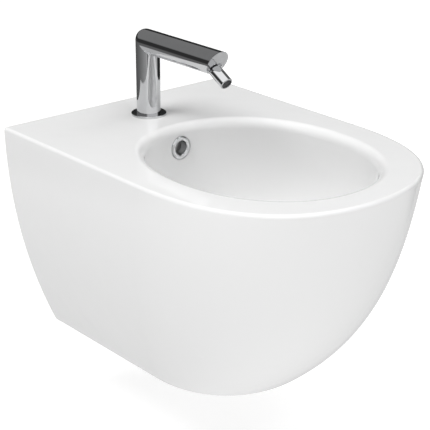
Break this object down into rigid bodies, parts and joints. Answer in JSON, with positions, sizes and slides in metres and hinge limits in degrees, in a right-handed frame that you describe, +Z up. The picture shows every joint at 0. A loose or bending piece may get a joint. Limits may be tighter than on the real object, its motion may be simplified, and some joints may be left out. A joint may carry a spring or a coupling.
{
  "type": "wall-hung bidet",
  "caption": "Wall-hung bidet with an oval bowl in a D-shaped skirt, a mitred single-hole tap with a swivel nozzle, an overflow and a push-open waste.",
  "frame": {"origin": "on the wall face, midway between the two fixing studs, 80 mm below the rim", "axes": "+Y out of the wall face into the wall, +Z up, the bidet stands out along -Y"},
  "size_m": [0.3598, 0.5592, 0.413],
  "materials": {
    "glazed_china": "gloss white glaze",
    "chrome": "polished chrome plate",
    "zinc_steel": "bright zinc plate",
    "brass": "plain turned brass",
    "white_plastic": "moulded, satin",
    "dark_plastic": "moulded, satin",
    "rubber": "matt black"
  },
  "bodies": {
    "bidet": {"ceramic_deck": "glazed_china", "ceramic_bowl": "glazed_china", "overflow_duct": "glazed_china", "ceramic_skirt": "glazed_china", "wall_studs": "zinc_steel", "stud_sleeves": "white_plastic", "stud_washers": "zinc_steel", "stud_nuts": "zinc_steel", "overflow_ring": "chrome", "waste_top_gasket": "rubber", "waste_body": "chrome", "waste_bottom_gasket": "rubber", "waste_washer": "white_plastic", "waste_nut": "white_plastic", "latch_cartridge": "white_plastic", "tailpiece_seal": "rubber", "tailpiece": "chrome", "base_seal": "rubber", "base_ring": "chrome", "mounting_shank": "brass", "deck_washer": "rubber", "clamp_washer": "zinc_steel", "shank_nut": "brass", "tap_body": "chrome", "cap_seal": "rubber", "spout_cap": "chrome", "seat_retainer": "brass"},
    "seat": {"ball_seat": "white_plastic"},
    "nozzle": {"nozzle_ball": "brass", "nozzle_sleeve": "chrome", "aerator_washer": "rubber", "aerator_housing": "dark_plastic", "aerator_insert": "dark_plastic"},
    "plug": {"plug_cap": "chrome", "plug_seal": "rubber", "plug_stem": "chrome"}
  },
  "joints": [
    {"name": "nozzle_turn", "type": "hinge", "parent": "bidet", "child": "seat", "pos_m": [0, -0.2037, 0.1747], "axis": [0, -0.4924, 0.8704], "range_deg": [-10, 10]},
    {"name": "nozzle_tilt", "type": "hinge", "parent": "seat", "child": "nozzle", "pos_m": [0, -0.2037, 0.1747], "axis": [1, 0, 0], "range_deg": [-10, 10]},
    {"name": "plug_lift", "type": "slide", "parent": "bidet", "child": "plug", "axis": [0, 0, 1], "range_m": [0, 0.008]}
  ]
}
